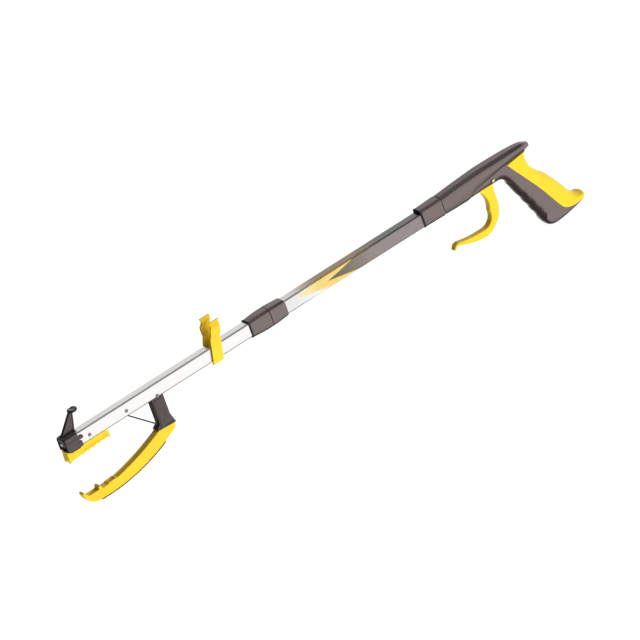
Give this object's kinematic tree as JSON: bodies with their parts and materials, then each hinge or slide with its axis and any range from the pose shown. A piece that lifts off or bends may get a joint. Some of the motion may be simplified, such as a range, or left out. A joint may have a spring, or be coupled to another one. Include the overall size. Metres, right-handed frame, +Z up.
{
  "type": "reacher grabber",
  "caption": "Long aluminium reacher with a pistol grip, a finger trigger, a cable-closed lower jaw, a fixed toothed jaw, a dressing post and a clip that holds it to a walking stick.",
  "frame": {"origin": "on the tube's axis at the nose's front face", "axes": "+X along the tube from the nose to the handle, +Y to the far side, +Z up towards the post"},
  "size_m": [0.8142, 0.0272, 0.1505],
  "materials": {
    "bare_aluminium": "satin, drawn along the tube",
    "printed_tube": "satin print: a yellow flame fading into charcoal",
    "black_plastic": "fine moulded grain",
    "charcoal_plastic": "soft satin",
    "yellow_plastic": "soft gloss, moulded",
    "plated_steel": "zinc plated",
    "brass": "turned",
    "acetal": "natural white",
    "nickel_magnet": "bright plating",
    "rivet_aluminium": "pressed heads",
    "cable_steel": "stranded and lightly oiled",
    "black_rubber": "matt"
  },
  "bodies": {
    "frame": {"lower_tube": "bare_aluminium", "upper_tube": "printed_tube", "joint_spigot": "bare_aluminium", "collar_front": "charcoal_plastic", "collar_rear": "charcoal_plastic", "nose_cap": "black_plastic", "tip_magnet": "nickel_magnet", "fixed_jaw": "yellow_plastic", "nose_rivet": "rivet_aluminium", "pulley_rivet": "rivet_aluminium", "jaw_rivet": "rivet_aluminium", "guide_roller_pin": "plated_steel", "return_spring": "plated_steel", "pull_cable": "cable_steel", "handle_ferrule": "charcoal_plastic", "barrel_cover": "charcoal_plastic", "grip_left": "charcoal_plastic", "grip_right": "charcoal_plastic", "grip_backstrap": "yellow_plastic", "handle_screws": "plated_steel", "trigger_pin": "plated_steel"},
    "trigger": {"trigger": "yellow_plastic", "cable_nipple": "brass"},
    "jaw": {"knuckle": "black_plastic", "moving_jaw": "yellow_plastic", "jaw_edge_strip": "black_rubber", "cable_anchor": "brass", "jaw_bush": "brass", "jaw_screws": "plated_steel"},
    "pulley": {"pulley": "acetal"},
    "guide_roller": {"guide_roller": "acetal"},
    "clip": {"walking_aid_clip": "yellow_plastic"}
  },
  "joints": [
    {"name": "trigger_pivot", "type": "hinge", "parent": "frame", "child": "trigger", "pos_m": [0.6966, 0, -0.004], "axis": [0, -1, 0], "range_deg": [0, 34]},
    {"name": "jaw_pivot", "type": "hinge", "parent": "frame", "child": "jaw", "pos_m": [0.1476, 0, -0.0067], "axis": [0, 1, 0], "range_deg": [0, 21], "stiffness_Nm_per_rad": 0.03, "springref_deg": -57.3, "deforming": ["pull_cable", "return_spring"]},
    {"name": "pulley_spin", "type": "hinge", "parent": "frame", "child": "pulley", "pos_m": [0.0993, 0, -0.0014], "axis": [0, 1, 0], "range_deg": [0, 137]},
    {"name": "guide_roller_spin", "type": "hinge", "parent": "frame", "child": "guide_roller", "pos_m": [0.6686, 0, 0.0006], "axis": [0, 1, 0], "range_deg": [0, 205]},
    {"name": "clip_slide", "type": "slide", "parent": "frame", "child": "clip", "axis": [1, 0, 0], "range_m": [-0.06, 0.03]}
  ],
  "couplings": [
    {"joint": "jaw_pivot", "follows": "trigger_pivot", "ratio": 0.6118},
    {"joint": "pulley_spin", "follows": "trigger_pivot", "ratio": 4},
    {"joint": "guide_roller_spin", "follows": "trigger_pivot", "ratio": 6}
  ]
}
